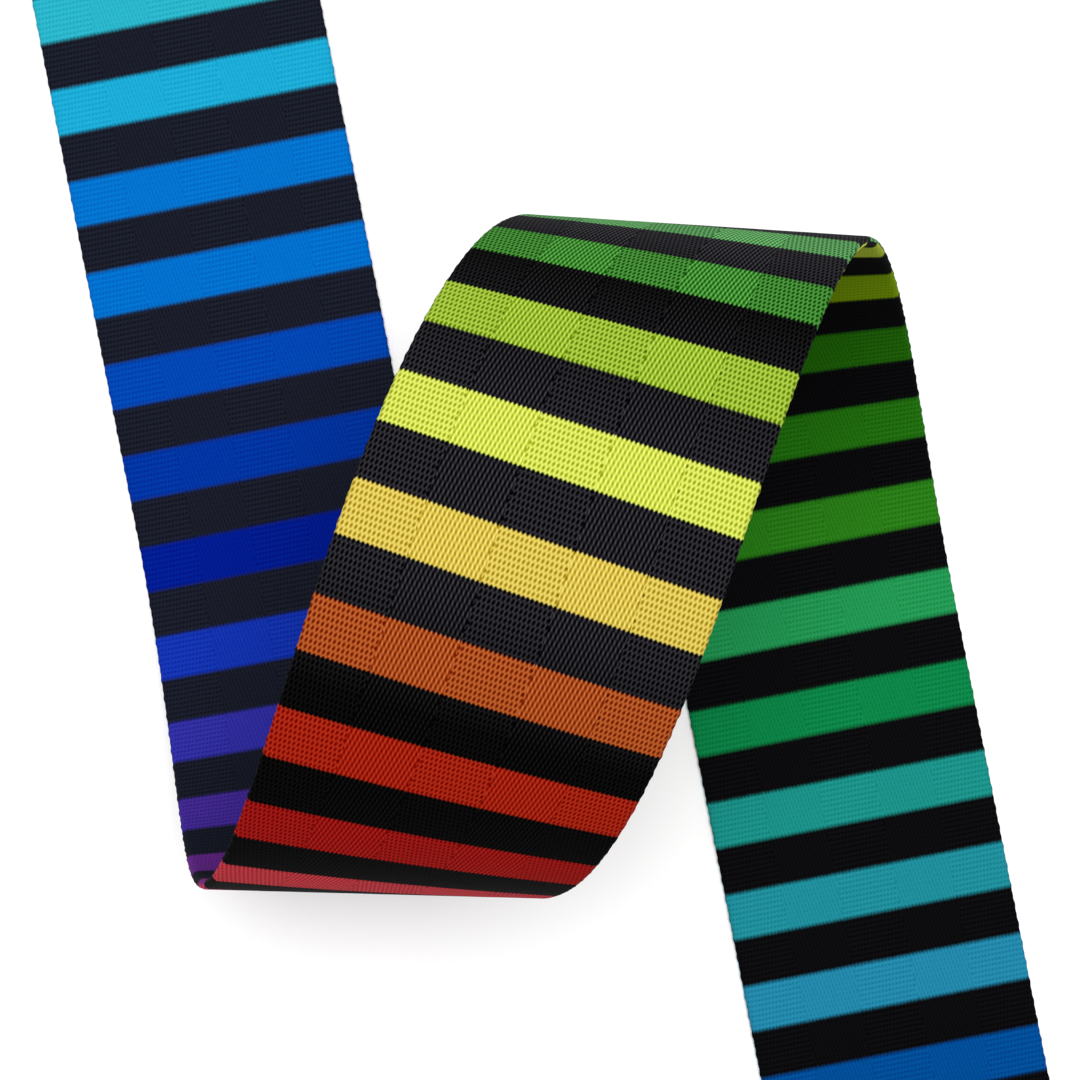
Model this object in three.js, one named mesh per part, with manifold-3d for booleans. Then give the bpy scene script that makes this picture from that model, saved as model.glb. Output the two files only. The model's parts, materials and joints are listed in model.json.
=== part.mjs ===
// Luggage strap: one long webbing laid out with a single standing turn, its spare length rolled up,
// a sewn-on buckle socket at one end and a sliding adjuster with the buckle plug at the other.
// Millimetres, +Z up. The origin is on the surface the strap lies on, under the middle of the
// webbing, where the first flat run starts to rise into the turn.
import * as THREE from 'three';
import { mergeVertices } from 'three/addons/utils/BufferGeometryUtils.js';
import Module from 'manifold-3d';

const wasm = await Module();
wasm.setup();

// ---------------------------------------------------------------- driving dimensions
const WIDTH = 50;
const THICKNESS = 1.5;
const GAP = 0.3;
const HALF = THICKNESS / 2;
const PLY = THICKNESS + GAP;

// The standing turn: a helix of four quarter ellipses on a level axis.
const LEAD_ANGLE = THREE.MathUtils.degToRad(14.85);
const AXIS_ANGLE = THREE.MathUtils.degToRad(3.71);
const TURN_HEIGHT = 98.8;
const LOW_REACH = 52.9;
const LOW_SIDE_HEIGHT = 43.9;
const HIGH_REACH = 50.8;
const HIGH_SIDE_HEIGHT = 50.8;
const LANDING_SETBACK = 1.9;
const DRIFT_RISING = 1.7;
const DRIFT_FALLING = 6.7;

// Flat runs, measured outward from the turn.
const FIRST_RUN = 108;
const LAST_RUN = 97;

// Sewn end with the buckle socket.
const SEWN_START = 112;
const SEWN_END = 150;
const SEWN_LIFT = 0.9;
const SOCKET_BAR_AT = 170;
const SOCKET_BAR_HEIGHT = 7.5;
const BAR_RADIUS = 2.5;
const BAR_GAP = 0.4;
const LOOP_RADIUS = BAR_RADIUS + BAR_GAP + HALF;

// Roll of spare webbing: two strands wound together from an S-shaped core.
const ROLL_TURNS = 5;
const ROLL_CORE = 5;
const ROLL_OUTER = ROLL_CORE + 2 * PLY * ROLL_TURNS;
const ROLL_AT = LAST_RUN + 1.5 + ROLL_OUTER + HALF;
const ROLL_HEIGHT = HALF + ROLL_OUTER;
const SLOPE_LENGTH = 64;

// Three-bar adjuster, and the buckle plug on the doubled webbing beyond it.
const ADJUSTER_AT = ROLL_AT + SLOPE_LENGTH + 32;
const ADJUSTER_LENGTH = 27;
const ADJUSTER_WIDTH = 62;
const ADJUSTER_THICKNESS = 3.5;
const CENTRE_BAR = 5;
const SLOT_END = 7.4;
const SLOT_WIDTH = 53;
const ADJUSTER_BASE = 2 * PLY;
const OUTER_PASS = CENTRE_BAR / 2 + GAP + HALF + PLY;
const INNER_PASS = CENTRE_BAR / 2 + GAP + HALF;
const INNER_BEND = 1.3;
const OUTER_BEND = INNER_BEND + PLY;
const PLUG_BAR_AT = ADJUSTER_AT + 76;
const PLUG_BAR_HEIGHT = 6;
const PASS_START = ADJUSTER_AT - 30;
const PLUG_LOOP_START = PLUG_BAR_AT - 14;

// Buckle mouldings, along their own length from the webbing bar.
const CHEEK_INSIDE = 26.5;
const SLOT_DEPTH = 7;
const SOCKET = { width: 66, length: 60, thickness: 15, wall: 2.6, mouth: 56, depth: 38 };
const PLUG = { width: 62, shoulder: 29, thickness: 12, tongueWidth: 12, tongueTip: 60, tongueThickness: 5 };
const ARM = { root: 19, knuckle: 3, thickness: 7.4, tip: 65 };

// Sewing thread.
const THREAD_WIDTH = 0.9;
const THREAD_HEIGHT = 0.5;
const SEAM_INSET = 4;

// ---------------------------------------------------------------- colours
const COLOURS = {
  webbing: new THREE.MeshStandardMaterial({ color: 0x2a5fd0, roughness: 0.75, metalness: 0 }),
  plastic: new THREE.MeshStandardMaterial({ color: 0x151517, roughness: 0.5, metalness: 0 }),
  thread: new THREE.MeshStandardMaterial({ color: 0x1b1b1f, roughness: 0.6, metalness: 0 }),
};

// ---------------------------------------------------------------- solids from rows of points
// Each row is a closed ring of points; the rows are skinned and the two ends capped.
function skin(rows) {
  const ring = rows[0].length;
  const positions = rows.flat().flatMap((p) => [p.x, p.y, p.z]);
  const faces = [];
  for (let i = 0; i + 1 < rows.length; i += 1) {
    for (let j = 0; j < ring; j += 1) {
      const a = i * ring + j;
      const b = i * ring + ((j + 1) % ring);
      faces.push([a, b, b + ring], [a, b + ring, a + ring]);
    }
  }
  const last = (rows.length - 1) * ring;
  const half = ring / 2;
  for (let j = 0; j < half - 1; j += 1) {
    const k = ring - 1 - j;
    faces.push([j, k, j + 1], [j + 1, k, k - 1]);
    faces.push([last + j, last + j + 1, last + k], [last + j + 1, last + k - 1, last + k]);
  }
  const geometry = new THREE.BufferGeometry();
  geometry.setAttribute('position', new THREE.Float32BufferAttribute(positions, 3));
  geometry.setIndex(volume(positions, faces) < 0 ? faces.flatMap((f) => [f[0], f[2], f[1]]) : faces.flat());
  return geometry;
}

function volume(positions, faces) {
  const at = (i) => new THREE.Vector3().fromArray(positions, 3 * i);
  return faces.reduce((sum, [a, b, c]) => sum + at(a).dot(at(b).cross(at(c))) / 6, 0);
}

// ---------------------------------------------------------------- the turn
const ease = (t) => t * t * (3 - 2 * t);

// Polyline of the turn's section across its axis: [across, up] pairs, first run to last run.
function turnSection() {
  const quarter = (place) => Array.from({ length: 60 }, (_, i) => place((i * Math.PI) / 120));
  return [
    ...quarter((a) => [-LOW_REACH * Math.sin(a), LOW_SIDE_HEIGHT * (1 - Math.cos(a))]),
    ...quarter((a) => [-LOW_REACH * Math.cos(a), LOW_SIDE_HEIGHT + (TURN_HEIGHT - LOW_SIDE_HEIGHT) * Math.sin(a)]),
    ...quarter((a) => [HIGH_REACH * Math.sin(a), HIGH_SIDE_HEIGHT + (TURN_HEIGHT - HIGH_SIDE_HEIGHT) * Math.cos(a)]),
    ...quarter((a) => [
      (HIGH_REACH + LANDING_SETBACK) * Math.cos(a) - LANDING_SETBACK,
      HIGH_SIDE_HEIGHT * (1 - Math.sin(a)),
    ]),
    [-LANDING_SETBACK, 0],
  ];
}

// Adds the running length to a polyline, and gives the place and direction at any length.
function measured(points) {
  const lengths = [0];
  for (let i = 1; i < points.length; i += 1) {
    lengths.push(lengths[i - 1] + Math.hypot(points[i][0] - points[i - 1][0], points[i][1] - points[i - 1][1]));
  }
  const total = lengths[lengths.length - 1];
  const at = (length) => {
    let i = 1;
    while (i < points.length - 1 && lengths[i] < length) i += 1;
    const step = lengths[i] - lengths[i - 1];
    const t = (length - lengths[i - 1]) / step;
    const along = [(points[i][0] - points[i - 1][0]) / step, (points[i][1] - points[i - 1][1]) / step];
    return { x: points[i - 1][0] + t * step * along[0], z: points[i - 1][1] + t * step * along[1], along };
  };
  return { total, at };
}

const section = measured(turnSection());
const TOP_AT = section.total / 2;
const TURN_LENGTH = section.total / Math.cos(LEAD_ANGLE);

// A point of the turn or of the flat runs beside it. s runs along the webbing, w across it,
// and h is the height above the middle of the webbing, towards the inside of the turn.
function turnPoint(s, w, h) {
  const l = s * Math.cos(LEAD_ANGLE) - w * Math.sin(LEAD_ANGLE);
  const rising = ease(THREE.MathUtils.clamp(l / TOP_AT, 0, 1));
  const falling = ease(THREE.MathUtils.clamp((l - TOP_AT) / (section.total - TOP_AT), 0, 1));
  const u = s * Math.sin(LEAD_ANGLE) + w * Math.cos(LEAD_ANGLE) + DRIFT_RISING * rising + DRIFT_FALLING * falling;
  let v = -l;
  let z = h;
  if (l >= section.total) v = section.total - l - LANDING_SETBACK;
  if (l > 0 && l < section.total) {
    const place = section.at(l);
    v = place.x + h * place.along[1];
    z = place.z - h * place.along[0];
  }
  return new THREE.Vector3(
    u * Math.cos(AXIS_ANGLE) + v * Math.sin(AXIS_ANGLE),
    v * Math.cos(AXIS_ANGLE) - u * Math.sin(AXIS_ANGLE),
    z + HALF,
  );
}

// One ring of webbing: across the top face and back along the bottom one.
function webbingRing(place, acrossSteps) {
  const across = Array.from({ length: acrossSteps + 1 }, (_, i) => (i / acrossSteps - 0.5) * WIDTH);
  return [...across.map((w) => place(w, HALF)), ...across.reverse().map((w) => place(w, -HALF))];
}

function turnSolid() {
  const from = -FIRST_RUN + GAP;
  const to = TURN_LENGTH + LAST_RUN - GAP;
  const stops = [from];
  const step = 6;
  for (let s = -2 * step; s < TURN_LENGTH + 2 * step; s += step) stops.push(s);
  stops.push(to);
  return skin(stops.map((s) => webbingRing((w, h) => turnPoint(s, w, h), 6)));
}

// ---------------------------------------------------------------- straight ends, as side views
const RUN_ANGLE = LEAD_ANGLE - AXIS_ANGLE;
const FORWARD = new THREE.Vector3(Math.sin(RUN_ANGLE), -Math.cos(RUN_ANGLE), 0);
const SIDE = new THREE.Vector3(Math.cos(RUN_ANGLE), Math.sin(RUN_ANGLE), 0);
const LANDING = turnPoint(TURN_LENGTH, 0, 0).setZ(0);

const line = (...points) => points;
const arc = (x, z, radius, from, to, steps) =>
  Array.from({ length: steps + 1 }, (_, i) => {
    const a = THREE.MathUtils.degToRad(from + ((to - from) * i) / steps);
    return [x + radius * Math.cos(a), z + radius * Math.sin(a)];
  });
const swoop = (x0, z0, x1, z1, steps) =>
  Array.from({ length: steps + 1 }, (_, i) => [x0 + ((x1 - x0) * i) / steps, z0 + (z1 - z0) * ease(i / steps)]);

// Webbing that follows a side view, [outward, up] pairs, from a base point along a direction.
function endSolid(path, base, outward) {
  const place = ([x, z], w) => base.clone().addScaledVector(outward, x).addScaledVector(SIDE, w).setZ(z);
  const rows = path.map((point, i) => {
    const before = path[Math.max(i - 1, 0)];
    const after = path[Math.min(i + 1, path.length - 1)];
    const unit = (a, b) => {
      const d = Math.hypot(b[0] - a[0], b[1] - a[1]);
      return [(b[0] - a[0]) / d, (b[1] - a[1]) / d];
    };
    const d0 = i > 0 ? unit(before, point) : unit(point, after);
    const d1 = i + 1 < path.length ? unit(point, after) : d0;
    const mitre = HALF / Math.sqrt((1 + d0[0] * d1[0] + d0[1] * d1[1]) / 2);
    const size = Math.hypot(d0[0] + d1[0], d0[1] + d1[1]);
    const normal = [(-(d0[1] + d1[1]) / size) * mitre, ((d0[0] + d1[0]) / size) * mitre];
    return webbingRing((w, h) => {
      const side = Math.sign(h);
      return place([point[0] + side * normal[0], point[1] + side * normal[1]], w);
    }, 1);
  });
  return skin(rows);
}

const BACKWARD = FORWARD.clone().negate();
const ORIGIN = new THREE.Vector3();

// Round the socket bar and back over itself, where it is sewn down.
function socketEndPath() {
  const low = HALF + SEWN_LIFT;
  const rise = SOCKET_BAR_AT - SEWN_END;
  return [
    ...line([FIRST_RUN, HALF], [FIRST_RUN + 1, HALF]),
    ...swoop(FIRST_RUN + 1, HALF, SEWN_START, low, 2).slice(1),
    ...swoop(SEWN_END, low, SEWN_END + rise, SOCKET_BAR_HEIGHT - LOOP_RADIUS, 6),
    ...arc(SOCKET_BAR_AT, SOCKET_BAR_HEIGHT, LOOP_RADIUS, -90, 90, 10).slice(1, -1),
    ...swoop(SEWN_END + rise, SOCKET_BAR_HEIGHT + LOOP_RADIUS, SEWN_END, low + PLY, 6),
    ...line([SEWN_START, low + PLY]),
  ];
}

// The spare webbing: in along the surface, wound up, and down again to the surface.
function rollPath() {
  const step = 20;
  const count = (360 / step) * ROLL_TURNS;
  const strand = (start, turn) => (_, i) => {
    const a = THREE.MathUtils.degToRad(start + turn * step * i);
    const radius = ROLL_OUTER - (2 * PLY * step * i) / 360;
    return [ROLL_AT + radius * Math.cos(a), ROLL_HEIGHT + radius * Math.sin(a)];
  };
  const inward = Array.from({ length: count + 1 }, strand(-90, 1));
  const outward = Array.from({ length: count + 1 }, strand(90, 1)).reverse();
  const bend = ROLL_CORE / 2;
  return [
    ...line([LAST_RUN, HALF]),
    ...inward,
    ...arc(ROLL_AT, ROLL_HEIGHT - bend, bend, -90, 90, 8).slice(1),
    ...arc(ROLL_AT, ROLL_HEIGHT + bend, bend, -90, -270, 8).slice(1, -1),
    ...outward,
    ...swoop(ROLL_AT, ROLL_HEIGHT + ROLL_OUTER, ROLL_AT + SLOPE_LENGTH, HALF, 12).slice(1),
    ...line([PASS_START - GAP, HALF]),
  ];
}

// Heights of the webbing where it crosses the adjuster.
const UNDER_OUTER = HALF;
const UNDER_INNER = HALF + PLY;
const OVER_BAR = ADJUSTER_BASE + ADJUSTER_THICKNESS + GAP + HALF;
const OVER_TAIL = OVER_BAR + PLY;
const OVER_TOP = OVER_TAIL + PLY;
const PLUG_PLY_LOW = PLUG_BAR_HEIGHT - LOOP_RADIUS;
const PLUG_PLY_HIGH = PLUG_BAR_HEIGHT + LOOP_RADIUS;
const LOWER_PLY_REST = HALF + 0.1;
const SEAM_FROM = ADJUSTER_AT + 16;
const SEAM_TO = ADJUSTER_AT + 46;

// In over the near bar, under the centre bar and out over the far bar towards the plug.
function lowerPassPath() {
  const c = ADJUSTER_AT;
  const edge = INNER_BEND;
  const round = OUTER_BEND;
  return [
    ...line([PASS_START, HALF]),
    ...swoop(PASS_START + 4, HALF, c - 13, OVER_BAR, 6),
    ...arc(c - OUTER_PASS - edge, OVER_BAR - edge, edge, 90, 0, 4),
    ...arc(c - OUTER_PASS + round, UNDER_OUTER + round, round, 180, 270, 5),
    ...arc(c + OUTER_PASS - round, UNDER_OUTER + round, round, 270, 360, 5),
    ...arc(c + OUTER_PASS + edge, OVER_BAR - edge, edge, 180, 90, 4),
    ...swoop(c + 13, OVER_BAR, c + 38, LOWER_PLY_REST, 6),
    ...[4, 0].map((d) => lowerPly(PLUG_LOOP_START - GAP - d)),
  ];
}

// Back from the plug, round the centre bar and out again as the sewn tail.
function upperPassPath() {
  const c = ADJUSTER_AT;
  const bend = INNER_BEND;
  return [
    ...[0, 4].map((d) => upperPly(PLUG_LOOP_START - GAP - d)),
    ...line([SEAM_TO, OVER_TOP], [SEAM_FROM, OVER_TOP]),
    ...swoop(c + 9, OVER_TOP + 0.9, c - 1.5, OVER_BAR, 6),
    ...arc(c - INNER_PASS + bend, OVER_BAR - bend, bend, 90, 180, 4).slice(1),
    ...arc(c - INNER_PASS + bend, UNDER_INNER + bend, bend, 180, 270, 4),
    ...arc(c + INNER_PASS - bend, UNDER_INNER + bend, bend, 270, 360, 4),
    ...arc(c + INNER_PASS + bend, OVER_TAIL - bend, bend, 180, 90, 4),
    ...line([SEAM_TO + 2, OVER_TAIL]),
  ];
}

// The two plies between the adjuster and the plug.
const plyHeight = (x, from, zFrom, zTo) => zFrom + (zTo - zFrom) * ease((x - from) / (PLUG_BAR_AT - from));
const lowerPly = (x) => [x, plyHeight(x, ADJUSTER_AT + 38, LOWER_PLY_REST, PLUG_PLY_LOW)];
const upperPly = (x) => [x, plyHeight(x, SEAM_TO, OVER_TOP, PLUG_PLY_HIGH)];

// The fold of webbing that holds the plug's bar.
function plugLoopPath() {
  const stops = [0, 5, 10].map((d) => PLUG_LOOP_START + d);
  return [
    ...stops.map(lowerPly),
    ...arc(PLUG_BAR_AT, PLUG_BAR_HEIGHT, LOOP_RADIUS, -90, 90, 10),
    ...stops.reverse().map(upperPly),
  ];
}

// ---------------------------------------------------------------- moulded pieces
function toManifold(geometry) {
  const bare = geometry.index ? geometry.toNonIndexed() : geometry.clone();
  bare.deleteAttribute('normal');
  bare.deleteAttribute('uv');
  const merged = mergeVertices(bare, 1e-4);
  return new wasm.Manifold(new wasm.Mesh({
    numProp: 3,
    vertProperties: new Float32Array(merged.attributes.position.array),
    triVerts: new Uint32Array(merged.index.array),
  }));
}

function fromManifold(solid) {
  const mesh = solid.getMesh();
  const geometry = new THREE.BufferGeometry();
  geometry.setAttribute('position', new THREE.Float32BufferAttribute(mesh.vertProperties, 3));
  geometry.setIndex(Array.from(mesh.triVerts));
  return geometry;
}

// A flat outline made into a plate centred on a height, with softened edges.
function plate(outline, thickness, height, bevel) {
  const geometry = new THREE.ExtrudeGeometry(outline, {
    depth: thickness - 2 * bevel,
    bevelSize: bevel,
    bevelThickness: bevel,
    bevelOffset: -bevel,
    bevelSegments: 2,
    curveSegments: 6,
  });
  return toManifold(geometry.translate(0, 0, height - thickness / 2 + bevel));
}

function roundedRectangle(x0, x1, halfWidth, corner) {
  const shape = new THREE.Shape();
  shape.moveTo(x0 + corner, -halfWidth);
  shape.lineTo(x1 - corner, -halfWidth);
  shape.absarc(x1 - corner, -halfWidth + corner, corner, -Math.PI / 2, 0);
  shape.absarc(x1 - corner, halfWidth - corner, corner, 0, Math.PI / 2);
  shape.absarc(x0 + corner, halfWidth - corner, corner, Math.PI / 2, Math.PI);
  shape.absarc(x0 + corner, -halfWidth + corner, corner, Math.PI, 1.5 * Math.PI);
  return shape;
}

// The round bar that the webbing loops over, between the two cheeks of a moulding.
function webbingBar(halfSpan, height) {
  const bar = new THREE.CylinderGeometry(BAR_RADIUS, BAR_RADIUS, 2 * halfSpan, 20);
  return toManifold(bar).translate([0, 0, height]);
}

function box(x0, x1, y0, y1, z0, z1) {
  const geometry = new THREE.BoxGeometry(x1 - x0, y1 - y0, z1 - z0);
  return toManifold(geometry.translate((x0 + x1) / 2, (y0 + y1) / 2, (z0 + z1) / 2));
}

function socketSolid() {
  const { width, length, thickness, wall, mouth, depth } = SOCKET;
  const half = width / 2;
  const outline = new THREE.Shape();
  outline.moveTo(-4, -half + 4);
  outline.quadraticCurveTo(-4, -half, 1, -half);
  outline.lineTo(28, -half);
  outline.quadraticCurveTo(40, -half + 5, 52, -half);
  outline.lineTo(length - 2, -half);
  outline.quadraticCurveTo(length, -half, length, -half + 2);
  outline.quadraticCurveTo(length - 5, 0, length, half - 2);
  outline.quadraticCurveTo(length, half, length - 2, half);
  outline.lineTo(52, half);
  outline.quadraticCurveTo(40, half - 5, 28, half);
  outline.lineTo(1, half);
  outline.quadraticCurveTo(-4, half, -4, half - 4);
  outline.closePath();
  const z = SOCKET_BAR_HEIGHT;
  const cavityHalf = thickness / 2 - wall;
  return plate(outline, thickness, z, 1.4)
    .subtract(box(-6, SLOT_DEPTH, -CHEEK_INSIDE, CHEEK_INSIDE, -1, thickness + 1))
    .subtract(box(length - depth, length + 4, -mouth / 2, mouth / 2, z - cavityHalf, z + cavityHalf))
    .subtract(box(33, 49, -half - 2, half + 2, z - cavityHalf, z + cavityHalf))
    .add(webbingBar(CHEEK_INSIDE + 1, z));
}

function plugSolid() {
  const { width, shoulder, thickness, tongueWidth, tongueTip, tongueThickness } = PLUG;
  const half = width / 2;
  const body = new THREE.Shape();
  body.moveTo(-4, -half + 4);
  body.quadraticCurveTo(-4, -half, 1, -half);
  body.lineTo(18, -half);
  body.quadraticCurveTo(26, -half + 1, shoulder, -half + 5);
  body.lineTo(shoulder, half - 5);
  body.quadraticCurveTo(26, half - 1, 18, half);
  body.lineTo(1, half);
  body.quadraticCurveTo(-4, half, -4, half - 4);
  body.closePath();
  const z = PLUG_BAR_HEIGHT;
  const tongue = roundedRectangle(shoulder - 4, tongueTip, tongueWidth / 2, 3);
  const recess = new THREE.CylinderGeometry(ARM.knuckle + GAP, ARM.knuckle + GAP, 2 * thickness, 24);
  const knuckleRecess = toManifold(recess.rotateX(Math.PI / 2));
  return plate(body, thickness, z, 1.2)
    .subtract(box(-6, SLOT_DEPTH, -CHEEK_INSIDE, CHEEK_INSIDE, -1, thickness + 1))
    .add(plate(tongue, tongueThickness, z, 0.8))
    .subtract(knuckleRecess.translate([shoulder, ARM.root, z]))
    .subtract(knuckleRecess.translate([shoulder, -ARM.root, z]))
    .add(webbingBar(CHEEK_INSIDE + 1, z));
}

// One springing latch arm; side is 1 for +Y and -1 for -Y.
function armSolid(side) {
  const { root, knuckle, thickness, tip } = ARM;
  const x0 = PLUG.shoulder;
  const outline = new THREE.Shape();
  outline.absarc(x0, root * side, knuckle, side * 2.2, side * 4.6, side < 0);
  outline.lineTo(x0 + 8, side * (root - 1.4));
  outline.quadraticCurveTo(x0 + 24, side * (root - 1.5), tip - 6, side * (root + 1));
  outline.quadraticCurveTo(tip, side * (root + 2), tip, side * (root + 5));
  outline.quadraticCurveTo(tip - 3, side * (root + 8.6), tip - 9, side * (root + 9));
  outline.lineTo(tip - 11, side * (root + 5));
  outline.quadraticCurveTo(x0 + 18, side * (root + 4), x0 + 4, side * (root + 2.6));
  outline.closePath();
  return plate(outline, thickness, PLUG_BAR_HEIGHT, 0.6);
}

function adjusterSolid() {
  const frame = roundedRectangle(-ADJUSTER_LENGTH / 2, ADJUSTER_LENGTH / 2, ADJUSTER_WIDTH / 2, 4);
  const z = ADJUSTER_BASE + ADJUSTER_THICKNESS / 2;
  const slot = (x0, x1) => box(x0, x1, -SLOT_WIDTH / 2, SLOT_WIDTH / 2, 0, 2 * ADJUSTER_BASE + ADJUSTER_THICKNESS);
  return plate(frame, ADJUSTER_THICKNESS, z, 0.8)
    .subtract(slot(CENTRE_BAR / 2, SLOT_END))
    .subtract(slot(-SLOT_END, -CENTRE_BAR / 2));
}

// A sewn box with a cross inside, as one thin web of thread.
function boxStitch(from, to, height) {
  const halfWidth = WIDTH / 2 - SEAM_INSET;
  const bar = (x0, y0, x1, y1) => {
    const length = Math.hypot(x1 - x0, y1 - y0) + THREAD_WIDTH;
    const rod = toManifold(new THREE.BoxGeometry(length, THREAD_WIDTH, THREAD_HEIGHT));
    const turn = THREE.MathUtils.radToDeg(Math.atan2(y1 - y0, x1 - x0));
    return rod.rotate([0, 0, turn]).translate([(x0 + x1) / 2, (y0 + y1) / 2, height + THREAD_HEIGHT / 2]);
  };
  return bar(from, -halfWidth, to, -halfWidth)
    .add(bar(to, -halfWidth, to, halfWidth))
    .add(bar(to, halfWidth, from, halfWidth))
    .add(bar(from, halfWidth, from, -halfWidth))
    .add(bar(from, -halfWidth, to, halfWidth))
    .add(bar(from, halfWidth, to, -halfWidth));
}

// ---------------------------------------------------------------- assembly
const group = new THREE.Group();

function addPiece(parent, name, geometry, material) {
  const mesh = new THREE.Mesh(geometry, material);
  mesh.name = name;
  parent.add(mesh);
}

// A group whose +X points outward along one end of the webbing, with +Y across it.
function endGroup(base, outward, distance) {
  const end = new THREE.Group();
  end.position.copy(base).addScaledVector(outward, distance);
  end.rotation.z = Math.atan2(outward.y, outward.x);
  group.add(end);
  return end;
}

addPiece(group, 'webbing_turn', turnSolid(), COLOURS.webbing);
addPiece(group, 'webbing_socket_end', endSolid(socketEndPath(), ORIGIN, BACKWARD), COLOURS.webbing);
addPiece(group, 'webbing_roll', endSolid(rollPath(), LANDING, FORWARD), COLOURS.webbing);
addPiece(group, 'webbing_adjuster_lower', endSolid(lowerPassPath(), LANDING, FORWARD), COLOURS.webbing);
addPiece(group, 'webbing_adjuster_upper', endSolid(upperPassPath(), LANDING, FORWARD), COLOURS.webbing);
addPiece(group, 'webbing_plug_loop', endSolid(plugLoopPath(), LANDING, FORWARD), COLOURS.webbing);

const socketEnd = endGroup(ORIGIN, BACKWARD, SOCKET_BAR_AT);
addPiece(socketEnd, 'buckle_socket', fromManifold(socketSolid()), COLOURS.plastic);

const socketSeam = endGroup(ORIGIN, BACKWARD, 0);
const socketSeamRange = [SEWN_START + 4, SEWN_END - 3];
const socketSeamTop = SEWN_LIFT + PLY + THICKNESS + GAP;
const socketNeedle = boxStitch(...socketSeamRange, socketSeamTop);
const socketBobbin = boxStitch(...socketSeamRange, SEWN_LIFT - GAP - THREAD_HEIGHT);
addPiece(socketSeam, 'socket_seam_needle_thread', fromManifold(socketNeedle), COLOURS.thread);
addPiece(socketSeam, 'socket_seam_bobbin_thread', fromManifold(socketBobbin), COLOURS.thread);

const adjusterEnd = endGroup(LANDING, FORWARD, ADJUSTER_AT);
addPiece(adjusterEnd, 'three_bar_adjuster', fromManifold(adjusterSolid()), COLOURS.plastic);

const adjusterSeam = endGroup(LANDING, FORWARD, 0);
const adjusterSeamRange = [SEAM_FROM + 3, SEAM_TO - 3];
const adjusterNeedle = boxStitch(...adjusterSeamRange, OVER_TOP + HALF + GAP);
const adjusterBobbin = boxStitch(...adjusterSeamRange, OVER_TAIL - HALF - GAP - THREAD_HEIGHT);
addPiece(adjusterSeam, 'adjuster_seam_needle_thread', fromManifold(adjusterNeedle), COLOURS.thread);
addPiece(adjusterSeam, 'adjuster_seam_bobbin_thread', fromManifold(adjusterBobbin), COLOURS.thread);

const plugEnd = endGroup(LANDING, FORWARD, PLUG_BAR_AT);
addPiece(plugEnd, 'buckle_plug', fromManifold(plugSolid()), COLOURS.plastic);
addPiece(plugEnd, 'latch_arm_left', fromManifold(armSolid(1)), COLOURS.plastic);
addPiece(plugEnd, 'latch_arm_right', fromManifold(armSolid(-1)), COLOURS.plastic);

export default group;
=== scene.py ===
"""Luggage strap: the looks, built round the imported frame.

The webbing is one long striped ribbon that follows the same route as the CAD model: sewn fold at the
buckle socket, flat run, standing turn, flat run, roll, adjuster, plug loop and sewn tail. Route sizes
are in millimetres, as in the CAD source, and become metres when a mesh is made.
"""
import json
import math

import bpy
import numpy as np
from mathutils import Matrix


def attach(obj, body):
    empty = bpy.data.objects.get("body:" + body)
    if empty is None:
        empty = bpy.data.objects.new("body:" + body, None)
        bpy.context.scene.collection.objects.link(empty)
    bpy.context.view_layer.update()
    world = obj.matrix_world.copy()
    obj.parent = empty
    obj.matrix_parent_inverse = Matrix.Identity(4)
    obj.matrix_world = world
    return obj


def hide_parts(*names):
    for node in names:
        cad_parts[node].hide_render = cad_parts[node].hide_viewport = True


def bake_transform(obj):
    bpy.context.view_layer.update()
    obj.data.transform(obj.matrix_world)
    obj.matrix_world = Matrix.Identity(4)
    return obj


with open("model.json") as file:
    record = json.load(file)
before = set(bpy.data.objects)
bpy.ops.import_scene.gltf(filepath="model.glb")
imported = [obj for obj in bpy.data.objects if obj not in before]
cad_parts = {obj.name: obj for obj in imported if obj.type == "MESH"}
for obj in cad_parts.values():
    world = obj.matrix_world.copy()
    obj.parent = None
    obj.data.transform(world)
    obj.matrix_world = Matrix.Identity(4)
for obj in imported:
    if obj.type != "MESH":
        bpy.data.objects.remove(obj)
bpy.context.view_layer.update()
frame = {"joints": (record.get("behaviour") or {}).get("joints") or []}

# ---------------------------------------------------------------- driving dimensions, in millimetres
MM = 0.001
WIDTH = 50
THICKNESS = 1.5
HALF = THICKNESS / 2
GAP = 0.3
PLY = THICKNESS + GAP

LEAD_ANGLE = math.radians(14.85)
TURN_HEIGHT = 98.8
LOW_REACH = 52.9
LOW_SIDE_HEIGHT = 43.9
HIGH_REACH = 50.8
HIGH_SIDE_HEIGHT = 50.8
LANDING_SETBACK = 1.9
LOW_CORNER_INSET = 2.0
DRIFT_RISING = 1.7
DRIFT_FALLING = 6.7
FIRST_RUN = 108
LAST_RUN = 97

SEWN_START = 112
SEWN_END = 150
SEWN_LIFT = 0.9
BAR_RADIUS = 2.5
LOOP_RADIUS = BAR_RADIUS + 0.4 + HALF

ROLL_TURNS = 5
ROLL_CORE = 5
ROLL_OUTER = ROLL_CORE + 2 * PLY * ROLL_TURNS
ROLL_AT = LAST_RUN + 1.5 + ROLL_OUTER + HALF
ROLL_HEIGHT = HALF + ROLL_OUTER
SLOPE_LENGTH = 64

ADJUSTER_AT = ROLL_AT + SLOPE_LENGTH + 32
ADJUSTER_THICKNESS = 3.5
CENTRE_BAR = 5
ADJUSTER_BASE = 2 * PLY
INNER_PASS = CENTRE_BAR / 2 + GAP + HALF
OUTER_PASS = INNER_PASS + PLY
INNER_BEND = 1.3
OUTER_BEND = INNER_BEND + PLY
PLUG_BAR_AT = ADJUSTER_AT + 76
PASS_START = ADJUSTER_AT - 30
SEAM_FROM = ADJUSTER_AT + 16
SEAM_TO = ADJUSTER_AT + 46
JOIN_AT = ADJUSTER_AT + 16

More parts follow.
